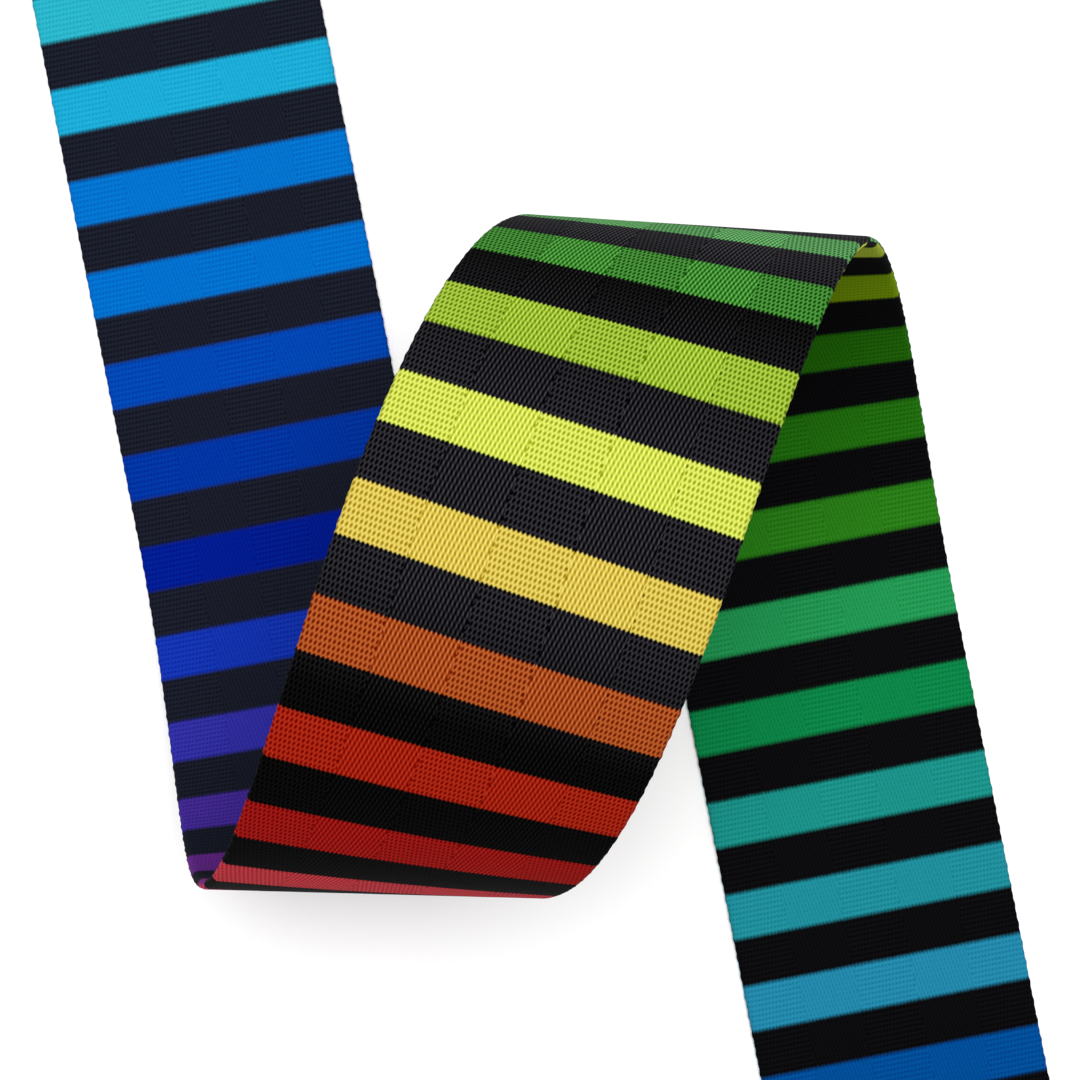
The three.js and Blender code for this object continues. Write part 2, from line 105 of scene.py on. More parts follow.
UNDER_OUTER = HALF
UNDER_INNER = HALF + PLY
OVER_BAR = ADJUSTER_BASE + ADJUSTER_THICKNESS + GAP + HALF
OVER_TAIL = OVER_BAR + PLY
OVER_TOP = OVER_TAIL + PLY
LOWER_PLY_REST = HALF + 0.1

# The print and the weave: rows of short slanted yarns, in five columns that lean left and right in turn.
STRIPE_PITCH = 16.44
YARN_PITCH = 0.617
ROW_PITCH = 0.87
REPEAT = 4 * ROW_PITCH
COLUMN_WIDTH = 10.05
COLUMN_SHIFT = 0.1
PIT_STAGGER = 1.2
SCALLOP_BY_ROW = 0.045
SCALLOP_BY_REPEAT = 0.04

# Where the print starts on each face, how the outer one is pulled along the turn, and how the inner
# one drifts, in pitches, between two places.
OUTER_PRINT_START = 112.6
OUTER_PULL = 1.1
OUTER_PULL_CENTRE = 135
OUTER_PULL_PERIOD = 120
INNER_PRINT_START = -85.4
INNER_DRIFT = 0.576
INNER_DRIFT_FROM = 70
INNER_DRIFT_TO = 250
INK_STRENGTH = 0.88

# ---------------------------------------------------------------- places taken from the frame
JOINTS = {joint["name"]: joint for joint in frame["joints"]}
FORWARD = np.array(JOINTS["adjuster_slide"]["axis"], float)
SIDE = np.array(JOINTS["socket_swivel"]["axis"], float)
UP = np.array([0.0, 0.0, 1.0])
SOCKET_BAR = np.array(JOINTS["socket_swivel"]["pos_m"], float) / MM
PLUG_BAR = np.array(JOINTS["plug_swivel"]["pos_m"], float) / MM
SOCKET_BAR_AT = math.hypot(SOCKET_BAR[0], SOCKET_BAR[1])
LANDING = (PLUG_BAR - FORWARD * PLUG_BAR_AT) * [1, 1, 0]
AXIS_ANGLE = LEAD_ANGLE - math.atan2(FORWARD[0], -FORWARD[1])
PLUG_PLY_LOW = PLUG_BAR[2] - LOOP_RADIUS
PLUG_PLY_HIGH = PLUG_BAR[2] + LOOP_RADIUS


# ---------------------------------------------------------------- the route of the webbing
def ease(t):
    t = np.clip(t, 0, 1)
    return t * t * (3 - 2 * t)


def line(*points):
    return np.array(points, float)


def arc(x, z, radius, start, end, steps=24):
    a = np.radians(np.linspace(start, end, steps + 1))
    return np.stack([x + radius * np.cos(a), z + radius * np.sin(a)], axis=1)


def swoop(x0, z0, x1, z1, steps=24):
    t = np.linspace(0, 1, steps + 1)
    return np.stack([x0 + (x1 - x0) * t, z0 + (z1 - z0) * ease(t)], axis=1)


def lengths(points):
    return np.concatenate([[0], np.cumsum(np.linalg.norm(np.diff(points, axis=0), axis=1))])


class Route:
    """A smooth side view, as (across, up) points, that is read by its running length."""

    def __init__(self, points, soften=0.0):
        points = np.concatenate(points)
        along = lengths(points)
        points = points[np.concatenate([[True], np.diff(along) > 1e-6])]
        along = lengths(points)
        at = np.linspace(0, along[-1], int(along[-1] / 0.1) + 2)
        even = np.stack([np.interp(at, along, points[:, k]) for k in (0, 1)], axis=1)
        reach = int(soften / 0.1)
        if reach:
            window = np.hanning(2 * reach + 3)[1:-1]
            padded = np.pad(even, ((reach, reach), (0, 0)), "reflect", reflect_type="odd")
            window = window / window.sum()
            even = np.stack([np.convolve(padded[:, k], window, "valid") for k in (0, 1)], axis=1)
        self.points = even
        self.along = lengths(even)
        self.total = self.along[-1]
        slope = np.gradient(even, self.along, axis=0)
        self.slope = slope / np.linalg.norm(slope, axis=1)[:, None]

    def at(self, length):
        x, z = (np.interp(length, self.along, self.points[:, k]) for k in (0, 1))
        dx, dz = (np.interp(length, self.along, self.slope[:, k]) for k in (0, 1))
        return x, z, dx, dz


def turn_route():
    """The turn's side view, as four quarter ellipses."""
    a = np.linspace(0, math.pi / 2, 200)
    sin, cos = np.sin(a), np.cos(a)
    low_rise = TURN_HEIGHT - LOW_SIDE_HEIGHT
    high_rise = TURN_HEIGHT - HIGH_SIDE_HEIGHT
    landing_reach = HIGH_REACH + LANDING_SETBACK
    return Route([
        np.stack([-LOW_REACH * sin, LOW_SIDE_HEIGHT * (1 - cos)], axis=1),
        np.stack([-LOW_REACH * cos, LOW_SIDE_HEIGHT + low_rise * sin], axis=1),
        np.stack([HIGH_REACH * sin, HIGH_SIDE_HEIGHT + high_rise * cos], axis=1),
        np.stack([landing_reach * cos - LANDING_SETBACK, HIGH_SIDE_HEIGHT * (1 - sin)], axis=1),
    ])


TURN = turn_route()
TURN_LENGTH = TURN.total / math.cos(LEAD_ANGLE)


def turn_point(s, w, h):
    """A point of the turn and of the flat runs beside it: s along, w across, h towards the inside."""
    l = s * math.cos(LEAD_ANGLE) - w * math.sin(LEAD_ANGLE)
    half = TURN.total / 2
    drift = DRIFT_RISING * ease(l / half) + DRIFT_FALLING * ease((l - half) / half)
    u = s * math.sin(LEAD_ANGLE) + w * math.cos(LEAD_ANGLE) + drift
    x, z, dx, dz = TURN.at(np.clip(l, 0, TURN.total))
    rising = np.sin(math.pi * np.clip(l / half, 0, 1)) ** 2
    x = x + LOW_CORNER_INSET * rising * (w / WIDTH + 0.5)
    v = np.where(l < 0, -l, np.where(l > TURN.total, TURN.total - l - LANDING_SETBACK, x + h * dz))
    up = np.where((l < 0) | (l > TURN.total), h, z - h * dx)
    cos, sin = math.cos(AXIS_ANGLE), math.sin(AXIS_ANGLE)
    return np.stack([u * cos + v * sin, v * cos - u * sin, up + HALF], axis=-1)


def socket_end_route():
    low = HALF + SEWN_LIFT
    z = SOCKET_BAR[2]
    return Route([
        line([FIRST_RUN, HALF], [FIRST_RUN + 1, HALF]),
        swoop(FIRST_RUN + 1, HALF, SEWN_START, low),
        swoop(SEWN_END, low, SOCKET_BAR_AT, z - LOOP_RADIUS),
        arc(SOCKET_BAR_AT, z, LOOP_RADIUS, -90, 90),
        swoop(SOCKET_BAR_AT, z + LOOP_RADIUS, SEWN_END, low + PLY),
        line([SEWN_START, low + PLY]),
    ], soften=0.8)


def strand(start):
    a = np.radians(np.linspace(0, 360 * ROLL_TURNS, 60 * ROLL_TURNS))
    radius = ROLL_OUTER - PLY * a / math.pi
    turn = np.radians(start) + a
    return np.stack([ROLL_AT + radius * np.cos(turn), ROLL_HEIGHT + radius * np.sin(turn)], axis=1)


def ply(start, end, low_from, z_from, z_to):
    """One of the two plies between the adjuster and the plug, from start to end."""
    x = np.linspace(start, end, 40)
    z = z_from + (z_to - z_from) * ease((x - low_from) / (PLUG_BAR_AT - low_from))
    return np.stack([x, z], axis=1)


def roll_and_pass():
    bend = ROLL_CORE / 2
    c = ADJUSTER_AT
    edge = INNER_BEND
    return [
        line([LAST_RUN, HALF]),
        strand(-90),
        arc(ROLL_AT, ROLL_HEIGHT - bend, bend, -90, 90),
        arc(ROLL_AT, ROLL_HEIGHT + bend, bend, -90, -270),
        strand(90)[::-1],
        swoop(ROLL_AT, ROLL_HEIGHT + ROLL_OUTER, ROLL_AT + SLOPE_LENGTH, HALF),
        swoop(PASS_START + 4, HALF, c - 13, OVER_BAR),
        arc(c - OUTER_PASS - edge, OVER_BAR - edge, edge, 90, 0),
        arc(c - OUTER_PASS + OUTER_BEND, UNDER_OUTER + OUTER_BEND, OUTER_BEND, 180, 270),
        arc(c + OUTER_PASS - OUTER_BEND, UNDER_OUTER + OUTER_BEND, OUTER_BEND, 270, 360),
        arc(c + OUTER_PASS + edge, OVER_BAR - edge, edge, 180, 90),
        swoop(c + 13, OVER_BAR, c + 38, LOWER_PLY_REST),
    ]


def plug_loop_and_tail():
    c = ADJUSTER_AT
    bend = INNER_BEND
    return [
        ply(c + 38, PLUG_BAR_AT, c + 38, LOWER_PLY_REST, PLUG_PLY_LOW),
        arc(PLUG_BAR_AT, PLUG_BAR[2], LOOP_RADIUS, -90, 90),
        ply(PLUG_BAR_AT, SEAM_TO, SEAM_TO, OVER_TOP, PLUG_PLY_HIGH),
        line([SEAM_TO, OVER_TOP], [SEAM_FROM, OVER_TOP]),
        swoop(c + 9, OVER_TOP + 0.9, c - 1.5, OVER_BAR),
        arc(c - INNER_PASS + bend, OVER_BAR - bend, bend, 90, 180),
        arc(c - INNER_PASS + bend, UNDER_INNER + bend, bend, 180, 270),
        arc(c + INNER_PASS - bend, UNDER_INNER + bend, bend, 270, 360),
        arc(c + INNER_PASS + bend, OVER_TAIL - bend, bend, 180, 90),
        line([SEAM_TO + 2, OVER_TAIL]),
    ]


SOCKET_END = socket_end_route()
PLUG_END = Route(roll_and_pass() + plug_loop_and_tail(), soften=0.8)
STRAP_START = -FIRST_RUN - SOCKET_END.total
PLUG_END_START = TURN_LENGTH + LAST_RUN


def end_point(route, length, w, h, base, outward):
    x, z, dx, dz = route.at(length)
    across = x - h * dz
    up = z + h * dx
    return base + across[..., None] * outward + w[..., None] * SIDE + up[..., None] * UP


def webbing_point(s, w, h):
    """A point of the webbing, in millimetres: s along from the origin, w across, h from mid-thickness."""
    s, w, h = np.broadcast_arrays(*np.atleast_1d(s, w, h))
    point = turn_point(s, w, h)
    socket_side = end_point(SOCKET_END, -FIRST_RUN - s, w, h, np.zeros(3), -FORWARD)
    plug_side = end_point(PLUG_END, s - PLUG_END_START, w, h, LANDING, FORWARD)
    point = np.where((s < -FIRST_RUN)[..., None], socket_side, point)
    return np.where((s > PLUG_END_START)[..., None], plug_side, point)


# ---------------------------------------------------------------- meshes
def new_object(name, vertices, faces, smooth=True):
    mesh = bpy.data.meshes.new(name)
    mesh.from_pydata((np.asarray(vertices) * MM).tolist(), [], faces)
    mesh.update()
    if smooth:
        mesh.polygons.foreach_set("use_smooth", [True] * len(mesh.polygons))
    piece = bpy.data.objects.new(name, mesh)
    bpy.context.scene.collection.objects.link(piece)
    return piece


def webbing_profile():
    """The webbing's cross-section as (across, up, is-edge): top face, right edge, bottom face, left edge."""
    flat = WIDTH / 2 - HALF
    across = np.array([-flat, -flat + 0.5, -16, -8, 0, 8, 16, flat - 0.5, flat])
    faces = [(w, HALF, 0) for w in across]
    around = np.radians([45, 90, 135])
    round_edge = [(flat + HALF * math.sin(a), HALF * math.cos(a), math.sin(a)) for a in around]
    bottom = [(w, -HALF, 0) for w in across[::-1]]
    left_edge = [(-w, -h, e) for w, h, e in round_edge]
    return np.array(faces + round_edge + bottom + left_edge)


def ribbon(name, stations):
    """A closed ribbon of webbing along these running lengths, with scalloped selvedges."""
    profile = webbing_profile()
    ring = len(profile)
    s = np.asarray(stations)[:, None]
    wave = SCALLOP_BY_ROW * np.cos(math.pi * s / ROW_PITCH)
    wave = wave + SCALLOP_BY_REPEAT * np.cos(2 * math.pi * s / REPEAT)
    scallop = wave * profile[None, :, 2] * np.sign(profile[None, :, 0])
    w = profile[None, :, 0] + scallop
    h = profile[None, :, 1] + 0 * s
    points = webbing_point(s, w, h)
    rows = len(stations)
    vertices = points.reshape(-1, 3)
    faces = []
    for i in range(rows - 1):
        a, b = i * ring, (i + 1) * ring
        for j in range(ring):
            k = (j + 1) % ring
            faces.append((a + j, b + j, b + k, a + k))
    faces.append(tuple(range(ring)))
    faces.append(tuple(reversed(range((rows - 1) * ring, rows * ring))))
    piece = new_object(name, vertices, faces)
    for end in (-1, -2):
        piece.data.polygons[end].use_smooth = False
    weave = piece.data.attributes.new("weave", "FLOAT_VECTOR", "POINT")
    side = 0.5 + 0.5 * profile[None, :, 1] / HALF + 0 * s
    values = np.stack([np.broadcast_to(s, w.shape) * MM, w * MM, side], axis=-1)
    weave.data.foreach_set("vector", values.reshape(-1).astype(np.float32))
    return piece


def station_range(start, end, step):
    return np.linspace(start, end, max(2, round((end - start) / step) + 1))


# ---------------------------------------------------------------- materials
class Shader:
    """A material under construction: each call adds one node and returns its output."""

    def __init__(self, name):
        self.material = bpy.data.materials.new(name)
        self.material.use_nodes = True
        self.tree = self.material.node_tree
        self.surface = self.tree.nodes["Principled BSDF"]

    def link(self, value, socket):
        if isinstance(value, bpy.types.NodeSocket):
            self.tree.links.new(value, socket)
        elif value is not None:
            socket.default_value = value

    def node(self, kind, inputs=(), output=0, **settings):
        node = self.tree.nodes.new("ShaderNode" + kind)
        for key, value in settings.items():
            setattr(node, key, value)
        for key, value in dict(inputs).items():
            self.link(value, node.inputs[key])
        return node.outputs[output]

    def math(self, operation, *values, clamp=False):
        return self.node("Math", enumerate(values), operation=operation, use_clamp=clamp)

    def mix(self, factor, a, b, blend="MIX"):
        return self.node("Mix", {0: factor, 6: a, 7: b}, output=2, data_type="RGBA", blend_type=blend)

    def wave(self, value, period, shift=0.0):
        """A cosine of that period, from -1 to 1."""
        turns = self.math("MULTIPLY_ADD", value, 2 * math.pi / period, shift)
        return self.math("COSINE", turns)

    def smooth_step(self, value, start, end):
        return self.node("MapRange", {0: value, 1: start, 2: end}, interpolation_type="SMOOTHSTEP")

    def ramp(self, value, stops):
        """A colour that blends between (place, colour) stops."""
        node = self.tree.nodes.new("ShaderNodeValToRGB")
        elements = node.color_ramp.elements
        while len(elements) < len(stops):
            elements.new(0.5)
        for element, (place, value_there) in zip(elements, stops):
            element.position = place
            element.color = value_there
        self.link(value, node.inputs[0])
        return node.outputs[0]

    def finish(self, roughness, **constants):
        self.link(roughness, self.surface.inputs["Roughness"])
        for key, value in constants.items():
            self.surface.inputs[key.replace("_", " ")].default_value = value
        return self.material


def linear(code):
    """A colour written as six hex digits, as scene-linear RGBA."""
    parts = [int(code[i:i + 2], 16) / 255 for i in (0, 2, 4)]
    return [c / 12.92 if c <= 0.04045 else ((c + 0.055) / 1.055) ** 2.4 for c in parts] + [1]


def inked(code):
    """A print colour, as strong as the dyed yarns show it."""
    return [c * INK_STRENGTH for c in linear(code)[:3]] + [1]


# The print's inks, then the ink of each stripe by its number. A stripe that isn't listed gets a mix
# of its neighbours' inks, and the stripes repeat after a cycle.
INKS = {
    "turquoise": "30b0b0", "cyan": "18a0c8", "azure": "0068c0", "royal_blue": "0040a8",
    "ultramarine": "001888", "sapphire": "1030a8", "violet": "402890", "magenta": "a02a68",
    "crimson": "b83038", "deep_red": "900c08", "scarlet": "981808", "rust": "983c14", "gold": "c8b044",
    "lemon": "c0cc48", "lime": "88a828", "olive": "6c8c04", "forest_green": "186008",
    "leaf_green": "287814", "grass_green": "287020", "sage": "488848", "emerald": "209050",
    "jade": "087c40", "teal": "188880", "petrol": "2080a0", "cobalt": "004890",
}
INNER_STRIPES = {
    -2: "turquoise", 0: "cyan", 1: "azure", 2: "azure", 3: "royal_blue", 5: "ultramarine",
    6: "sapphire", 8: "violet", 12: "magenta", 14: "deep_red", 16: "rust", 18: "gold", 20: "lemon",
    22: "olive", 23: "forest_green", 25: "leaf_green", 26: "emerald", 27: "jade", 28: "teal", 30: "petrol",
    31: "cobalt",
}
INNER_CYCLE = 35
# Stripe -1 stands on the steep side of the turn; its crimson is the red print made pinker by painted sheen.
OUTER_STRIPES = {
    -12: "royal_blue", -9: "sapphire", -6: "violet", -3: "magenta", -1: "crimson", 0: "deep_red",
    1: "scarlet", 2: "rust", 3: "gold", 4: "lemon", 5: "lime", 6: "grass_green", 7: "sage",
    8: "sage", 11: "emerald", 14: "teal", 17: "cyan", 20: "azure",
}
OUTER_CYCLE = 34
# The black between the outer stripes carries painted light: painted shade makes it deep where the webbing
# stands, and painted sheen makes it greyer over the top of the turn and on the floor.
BLACK_IN_PAINTED_SHADE = linear("030303")
BLACK_WITH_PAINTED_SHEEN = linear("141317")
# The inner black is painted greyer and bluer on the near run, a painted sheen, and darkens into painted
# shade across the turn to the far run.
INNER_BLACK_PAINTED_SHEEN = linear("151823")
INNER_BLACK_PAINTED_SHADE = linear("08080a")
OUTER_BLACKS_PAINTED_SHADE_AND_SHEEN = [(0.04, BLACK_IN_PAINTED_SHADE), (0.22, BLACK_IN_PAINTED_SHADE), (0.38, BLACK_WITH_PAINTED_SHEEN), (0.68, BLACK_WITH_PAINTED_SHEEN),
                (0.88, BLACK_IN_PAINTED_SHADE), (0.96, BLACK_WITH_PAINTED_SHEEN)]


def stripe_colour(shader, phase, stripes, cycle):
    """The print's colour at a stripe phase; each stripe is one colour over its whole width."""
    first = min(stripes)
    number = shader.math("FLOOR", shader.math("ADD", phase, 0.25 - first))
    turn = shader.math("FRACT", shader.math("DIVIDE", shader.math("ADD", number, 0.5), cycle))
    stops = [((k - first + 0.5) / cycle, inked(INKS[ink])) for k, ink in sorted(stripes.items())]
    return shader.ramp(turn, stops)


def stripe_mask(shader, phase, share, softness, yarns, reach):
    """1 on the coloured band, which fills that share of each pitch; raised yarns carry it on by reach."""
    centred = shader.math("FRACT", shader.math("ADD", phase, 0.5 - share / 2))
    off_centre = shader.math("ABSOLUTE", shader.math("SUBTRACT", centred, 0.5))
    off_centre = shader.math("MULTIPLY_ADD", yarns, -reach, off_centre)
    return shader.smooth_step(off_centre, share / 2 + softness, share / 2 - softness)


def webbing_weave(shader, s, w, inner):
    """The weave's height, the cosine across its yarns, the pits between columns, and 1 on odd columns."""
    across = shader.math("ADD", w, COLUMN_WIDTH * 2.5 + COLUMN_SHIFT)
    columns = shader.math("DIVIDE", across, COLUMN_WIDTH)
    odd = shader.math("MODULO", shader.math("FLOOR", columns), 2)
    lean = shader.math("MULTIPLY_ADD", odd, -2, 1)
    yarns = shader.math("DIVIDE", shader.math("MULTIPLY", w, lean), YARN_PITCH)
    quarter = shader.math("DIVIDE", s, REPEAT)
    steep = shader.wave(shader.math("ADD", quarter, yarns), 1)
    shallow = shader.wave(shader.math("MULTIPLY_ADD", quarter, 3, shader.math("MULTIPLY", yarns, -1)), 1)
    rows = shader.wave(s, ROW_PITCH)
    steep_share = shader.math("MULTIPLY_ADD", odd, 0.2, 0.5)
    row_share = shader.math("MULTIPLY_ADD", inner, -0.55, -0.38)
    row_share = shader.math("MULTIPLY", row_share, shader.math("MULTIPLY_ADD", odd, -0.8, 1))
    height = shader.node("Mix", {0: steep_share, 2: shallow, 3: steep}, data_type="FLOAT")
    height = shader.math("MULTIPLY_ADD", rows, row_share, height)

    edge = shader.math("PINGPONG", across, COLUMN_WIDTH / 2)
    along = shader.math("PINGPONG", shader.math("MULTIPLY_ADD", odd, PIT_STAGGER, s), REPEAT / 2)
    from_pit = shader.node("CombineXYZ", {0: edge, 1: along})
    pit_distance = shader.node("VectorMath", {0: from_pit}, output=1, operation="LENGTH")
    pits = shader.smooth_step(pit_distance, 0.42, 0.12)
    return height, steep, pits, odd


def webbing_material():
    shader = Shader("printed_webbing")
    weave = shader.node("Attribute", attribute_name="weave", output=1)
    axes = shader.tree.nodes.new("ShaderNodeSeparateXYZ")
    shader.link(weave, axes.inputs[0])
    s = shader.math("DIVIDE", axes.outputs[0], MM)
    w = shader.math("DIVIDE", axes.outputs[1], MM)
    inner = shader.math("GREATER_THAN", axes.outputs[2], 0.5)
    flat_place = shader.node("CombineXYZ", {0: s, 1: w, 2: axes.outputs[2]})
    height, teeth, pits, odd = webbing_weave(shader, s, w, inner)
    fibres = shader.node("TexNoise", {"Vector": flat_place, "Scale": 1.6, "Detail": 3, "Roughness": 0.6})

    # Print: outer bands end on the yarns, inner bands run softly into the black.
    pull = shader.wave(shader.math("SUBTRACT", s, OUTER_PULL_CENTRE), OUTER_PULL_PERIOD)
    outer_place = shader.math("MULTIPLY_ADD", pull, -OUTER_PULL, s)
    outer_place = shader.math("SUBTRACT", outer_place, OUTER_PRINT_START)
    outer_phase = shader.math("DIVIDE", outer_place, STRIPE_PITCH)
    drift = shader.math("MULTIPLY", shader.smooth_step(s, INNER_DRIFT_FROM, INNER_DRIFT_TO), INNER_DRIFT)
    wander = shader.math("MULTIPLY_ADD", shader.math("SUBTRACT", fibres, 0.5), 0.3, s)
    inner_place = shader.math("SUBTRACT", wander, INNER_PRINT_START)
    inner_phase = shader.math("ADD", shader.math("DIVIDE", inner_place, STRIPE_PITCH), drift)
    outer_colour = stripe_colour(shader, outer_phase, OUTER_STRIPES, OUTER_CYCLE)
    inner_colour = stripe_colour(shader, inner_phase, INNER_STRIPES, INNER_CYCLE)
    outer_mask = stripe_mask(shader, outer_phase, share=0.48, softness=0.012, yarns=teeth, reach=0.006)
    inner_mask = stripe_mask(shader, inner_phase, share=0.485, softness=0.03, yarns=teeth, reach=0.002)
    colour = shader.mix(inner, outer_colour, inner_colour)
    mask = shader.node("Mix", {0: inner, 2: outer_mask, 3: inner_mask}, data_type="FLOAT")
    # Painted shade and painted sheen on the outer black, set by place along the strap.
    outer_black_painted_light = shader.ramp(shader.smooth_step(s, 100, 240), OUTER_BLACKS_PAINTED_SHADE_AND_SHEEN)
    # Painted light on the inner black: painted sheen on the near run, painted shade from the turn onward.
    far = shader.smooth_step(s, 100, 250)
    inner_black_painted_light = shader.mix(far, INNER_BLACK_PAINTED_SHEEN, INNER_BLACK_PAINTED_SHADE)
    black = shader.mix(inner, outer_black_painted_light, inner_black_painted_light)
    printed = shader.mix(mask, black, colour)

    # Between the yarns light is reflected more than once, so the colour is deeper there, as a power of
    # itself; the inner face is much flatter.
    outer_contrast = shader.math("MULTIPLY_ADD", shader.smooth_step(s, 125, 165), 0.16, 0.3)
    contrast = shader.node("Mix", {0: inner, 2: outer_contrast, 3: 0.06}, data_type="FLOAT")
    rounded = shader.math("MULTIPLY", height, shader.math("MULTIPLY_ADD", height, -0.1, 1.0))
    lit = shader.math("SUBTRACT", rounded, shader.math("MULTIPLY", pits, 1.3))
    power = shader.math("SUBTRACT", 1.0, shader.math("MULTIPLY", lit, contrast))
    deepened = shader.node("Gamma", {0: printed, 1: power})
    # Painted shade and painted highlight: the yarn crowns are painted lighter and the hollows between them
    # darker.
    painted_relief_light = shader.math("MULTIPLY_ADD", shader.math("MULTIPLY", lit, contrast), 0.35, 1.0)
    # Painted sheen: the outer face's odd columns are painted a little paler, most of all over the crest
    # of the turn, standing in for the grazing reflection of their slanted yarns.
    outer_odd = shader.math("MULTIPLY", odd, shader.math("SUBTRACT", 1.0, inner))
    sheen_over_crest = shader.math("MULTIPLY", shader.smooth_step(s, 190, 218), shader.smooth_step(s, 290, 250))
    painted_sheen = shader.math("MULTIPLY_ADD", sheen_over_crest, 0.22, 0.03)
    painted_relief_light = shader.math("MULTIPLY_ADD", outer_odd, painted_sheen, painted_relief_light)
    speckle_and_painted_light = shader.math("MULTIPLY_ADD", shader.math("SUBTRACT", fibres, 0.5), 0.16, painted_relief_light)
    shade = shader.node("CombineXYZ", {0: speckle_and_painted_light, 1: speckle_and_painted_light, 2: speckle_and_painted_light})
    shaded = shader.mix(1.0, deepened, shade, blend="MULTIPLY")
    shader.link(shaded, shader.surface.inputs["Base Color"])
    depth = shader.math("MULTIPLY_ADD", inner, -0.85, 1.0)
    bump_height = shader.math("MULTIPLY", lit, depth)
    bump = shader.node("Bump", {"Strength": 0.4, "Distance": 0.06 * MM, "Height": bump_height})
    shader.link(bump, shader.surface.inputs["Normal"])
    return shader.finish(0.75, Specular_IOR_Level=0.01, Sheen_Weight=0.004, Sheen_Roughness=0.4)


def floor_material():
    shader = Shader("pale_floor")
    grain = shader.node("TexNoise", {"Scale": 40.0, "Detail": 2})
    colour = shader.ramp(grain, [(0.3, linear("eeeeee")), (0.7, linear("f2f2f2"))])
    shader.link(colour, shader.surface.inputs["Base Color"])
    return shader.finish(0.9, Specular_IOR_Level=0.1)


# ---------------------------------------------------------------- the strap
WEBBING = webbing_material()


def join_station():
    """Where the webbing passes JOIN_AT on its way to the plug."""
    near = (PLUG_END.points[:, 0] > JOIN_AT) & (PLUG_END.along > PLUG_END.total / 2)
    return PLUG_END_START + PLUG_END.along[np.argmax(near)]


def build_webbing():
    join = join_station()
    end = PLUG_END_START + PLUG_END.total
    long_run = np.concatenate([
        station_range(STRAP_START, -FIRST_RUN, ROW_PITCH)[:-1],
        station_range(-FIRST_RUN, PLUG_END_START, ROW_PITCH / 3)[:-1],
        station_range(PLUG_END_START, join, ROW_PITCH),
    ])
    strap = ribbon("striped_webbing", long_run)
    doubled = ribbon("doubled_webbing", station_range(join, end, ROW_PITCH / 3))
    for piece in (strap, doubled):
        piece.data.materials.append(WEBBING)
    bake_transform(strap)
    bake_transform(doubled)
    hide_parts("webbing_turn", "webbing_socket_end", "webbing_roll", "webbing_adjuster_lower")
    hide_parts("webbing_adjuster_upper", "webbing_plug_loop")


# ---------------------------------------------------------------- moulded buckle parts
SOCKET_MIDDLE = SOCKET_BAR[2]
PLUG_MIDDLE = PLUG_BAR[2]
PLUG_SHOULDER = 29
ARM_ROOT = 19
ARM_TIP = 65
VOXEL = 0.42
RIDGE_PITCH = 2.4
GRIP_PITCH = 1.6
TOOTH_PITCH = 2


class Place:
    """A local frame like the CAD groups': x outward along the webbing, y across, z up, in millimetres."""

    def __init__(self, base, outward, distance):
        self.origin = base + outward * distance
        across = np.array([-outward[1], outward[0], 0.0])
        self.axes = np.stack([outward, across, UP])

    def local(self, points):
        return (points - self.origin) @ self.axes.T

    def scene(self, points):
        return points @ self.axes + self.origin


def vertex_array(mesh, key="co"):
    values = np.empty(len(mesh.vertices) * 3)
    mesh.vertices.foreach_get(key, values)
    return values.reshape(-1, 3)


def moulded_copy(node, name, place, detail, body):
    """A finished copy of a moulded CAD node: edges rounded by a fine remesh, then detail from a function."""
    mesh = bpy.data.objects[node].data.copy()
    mesh.materials.clear()
    mesh.vertices.foreach_set("co", place.local(vertex_array(mesh) / MM).ravel())
    piece = bpy.data.objects.new(name, mesh)
    bpy.context.scene.collection.objects.link(piece)
    remesh = piece.modifiers.new("remesh", "REMESH")
    remesh.mode = "VOXEL"
    remesh.voxel_size = VOXEL
    soften = piece.modifiers.new("soften", "SMOOTH")
    soften.iterations = 4
    finished = bpy.data.meshes.new_from_object(piece.evaluated_get(bpy.context.evaluated_depsgraph_get()))
    piece.modifiers.clear()
    piece.data = finished
    points = vertex_array(finished)
    normals = vertex_array(finished, "normal")
    points = points + detail(points, normals)
    finished.vertices.foreach_set("co", (place.scene(points) * MM).ravel())
    finished.polygons.foreach_set("use_smooth", [True] * len(finished.polygons))
    finished.update()
    piece.data.materials.append(PLASTIC)
    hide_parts(node)
    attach(piece, body)
    return piece


def plateau(values, start, end, soft):
    """1 between start and end, falling smoothly to 0 over the soft distance outside."""
    return ease((values - start) / soft + 1) * ease((end - values) / soft + 1)


def recess(points, normals, centre, half_length, half_width, depth):
    """A shallow rounded panel sunk into the upper and lower faces."""
    x = (points[:, 0] - centre) / half_length
    y = points[:, 1] / half_width
    inside = ease((1.08 - (x ** 4 + y ** 4) ** 0.25) / 0.16)
    facing = ease((np.abs(normals[:, 2]) - 0.75) / 0.2)
    return -normals[:, 2] * depth * inside * facing


def parting_line(points, normals, middle):
    """The thin raised line where the two halves of the mould meet, as an outward offset."""
    sideways = ease((0.5 - np.abs(normals[:, 2])) / 0.2)
    return 0.12 * np.exp(-((points[:, 2] - middle) / 0.35) ** 2) * sideways


def along_normals(normals, offset):
    flat = normals * [1, 1, 0]
    return flat * offset[:, None]


